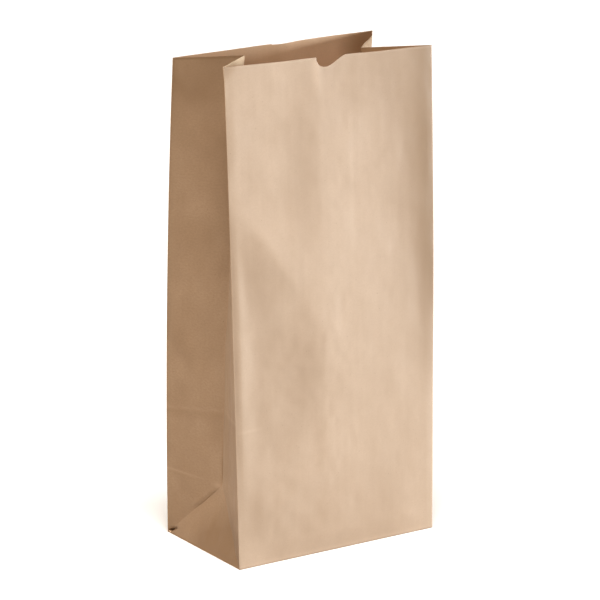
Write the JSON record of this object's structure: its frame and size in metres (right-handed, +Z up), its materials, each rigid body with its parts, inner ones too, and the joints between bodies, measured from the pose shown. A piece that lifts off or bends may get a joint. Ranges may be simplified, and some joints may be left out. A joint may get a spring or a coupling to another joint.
{
  "type": "paper bag",
  "caption": "Open flat-bottomed kraft paper bag with side gussets, a thumb notch and a folding base, plain as the body of a hand puppet.",
  "frame": {"origin": "centre of the base's underside, on the surface that the bag stands on", "axes": "+Z up to the mouth, -Y out of the front panel with the thumb notch, +X along the bag's width"},
  "size_m": [0.13, 0.079, 0.278],
  "materials": {
    "kraft": "unbleached kraft, matt, with a slight machine sheen",
    "kraft_gusset": "unbleached kraft, matt, creased",
    "kraft_base": "unbleached kraft, matt, folded layers",
    "paste": "dried starch paste"
  },
  "bodies": {
    "front": {"front_panel": "kraft"},
    "base": {"base_outer_flap": "kraft_base", "base_paste": "paste", "base_inner_flap": "kraft_base", "base_left_ear": "kraft_base", "base_right_ear": "kraft_base", "base_outer_left_tuck": "kraft_base", "base_inner_left_tuck": "kraft_base", "base_outer_right_tuck": "kraft_base", "base_inner_right_tuck": "kraft_base"},
    "back_strip": {"back_fold_left": "kraft", "back_fold_right": "kraft", "back_fold_paste": "paste"},
    "back": {"back_panel_left": "kraft", "back_panel_right": "kraft", "back_seam_paste": "paste"},
    "left_gusset_front": {"left_gusset_front": "kraft_gusset"},
    "left_gusset_rear": {"left_gusset_rear": "kraft_gusset"},
    "left_gusset_foot": {"left_gusset_foot": "kraft_gusset"},
    "left_gusset_triangle": {"left_gusset_triangle": "kraft_gusset"},
    "right_gusset_front": {"right_gusset_front": "kraft_gusset"},
    "right_gusset_rear": {"right_gusset_rear": "kraft_gusset"},
    "right_gusset_foot": {"right_gusset_foot": "kraft_gusset"},
    "right_gusset_triangle": {"right_gusset_triangle": "kraft_gusset"}
  },
  "joints": [
    {"name": "base_fold", "type": "hinge", "parent": "front", "child": "base", "pos_m": [0, -0.0391, 0.00087], "axis": [1, 0, 0], "range_deg": [0, 80]},
    {"name": "strip_fold", "type": "hinge", "parent": "base", "child": "back_strip", "pos_m": [0, 0.0391, 0.00087], "axis": [1, 0, 0], "range_deg": [0, 86.1]},
    {"name": "back_fold", "type": "hinge", "parent": "back_strip", "child": "back", "pos_m": [0, 0.03807, 0.0395], "axis": [1, 0, 0], "range_deg": [-171, 0]},
    {"name": "left_front_crease", "type": "hinge", "parent": "front", "child": "left_gusset_front", "pos_m": [-0.065, -0.03826, 0.0395], "axis": [0, -0.0116, -0.9999], "range_deg": [0, 71.6], "deforming": ["left_gusset_front"]},
    {"name": "left_rear_crease", "type": "hinge", "parent": "back", "child": "left_gusset_rear", "pos_m": [-0.065, 0.03902, 0.0395], "axis": [0, -0.0735, 0.9973], "range_deg": [0, 71.6], "deforming": ["left_gusset_rear"]},
    {"name": "left_foot_crease", "type": "hinge", "parent": "back_strip", "child": "left_gusset_foot", "pos_m": [-0.065, 0.0391, 0], "axis": [0, -0.0362, 0.9993], "range_deg": [0, 69.6], "deforming": ["left_gusset_foot"]},
    {"name": "left_side_crease", "type": "hinge", "parent": "base", "child": "left_gusset_triangle", "pos_m": [-0.065, 0, 0.00087], "axis": [0, 1, 0], "range_deg": [0, 69.8], "deforming": ["left_gusset_triangle"]},
    {"name": "right_front_crease", "type": "hinge", "parent": "front", "child": "right_gusset_front", "pos_m": [0.065, -0.03826, 0.0395], "axis": [0, 0.0116, 0.9999], "range_deg": [0, 71.6], "deforming": ["right_gusset_front"]},
    {"name": "right_rear_crease", "type": "hinge", "parent": "back", "child": "right_gusset_rear", "pos_m": [0.065, 0.03902, 0.0395], "axis": [0, 0.0735, -0.9973], "range_deg": [0, 71.6], "deforming": ["right_gusset_rear"]},
    {"name": "right_foot_crease", "type": "hinge", "parent": "back_strip", "child": "right_gusset_foot", "pos_m": [0.065, 0.0391, 0], "axis": [0, 0.0362, -0.9993], "range_deg": [0, 69.6], "deforming": ["right_gusset_foot"]},
    {"name": "right_side_crease", "type": "hinge", "parent": "base", "child": "right_gusset_triangle", "pos_m": [0.065, 0, 0.00087], "axis": [0, -1, 0], "range_deg": [0, 69.8], "deforming": ["right_gusset_triangle"]}
  ],
  "couplings": [
    {"joint": "strip_fold", "follows": "base_fold", "ratio": 1.074},
    {"joint": "back_fold", "follows": "base_fold", "ratio": -2.135},
    {"joint": "left_front_crease", "follows": "base_fold", "ratio": 0.8925},
    {"joint": "left_rear_crease", "follows": "base_fold", "ratio": 0.8925},
    {"joint": "left_foot_crease", "follows": "base_fold", "ratio": 0.86706},
    {"joint": "left_side_crease", "follows": "base_fold", "ratio": 0.86939},
    {"joint": "right_front_crease", "follows": "base_fold", "ratio": 0.8925},
    {"joint": "right_rear_crease", "follows": "base_fold", "ratio": 0.8925},
    {"joint": "right_foot_crease", "follows": "base_fold", "ratio": 0.86706},
    {"joint": "right_side_crease", "follows": "base_fold", "ratio": 0.86939}
  ]
}
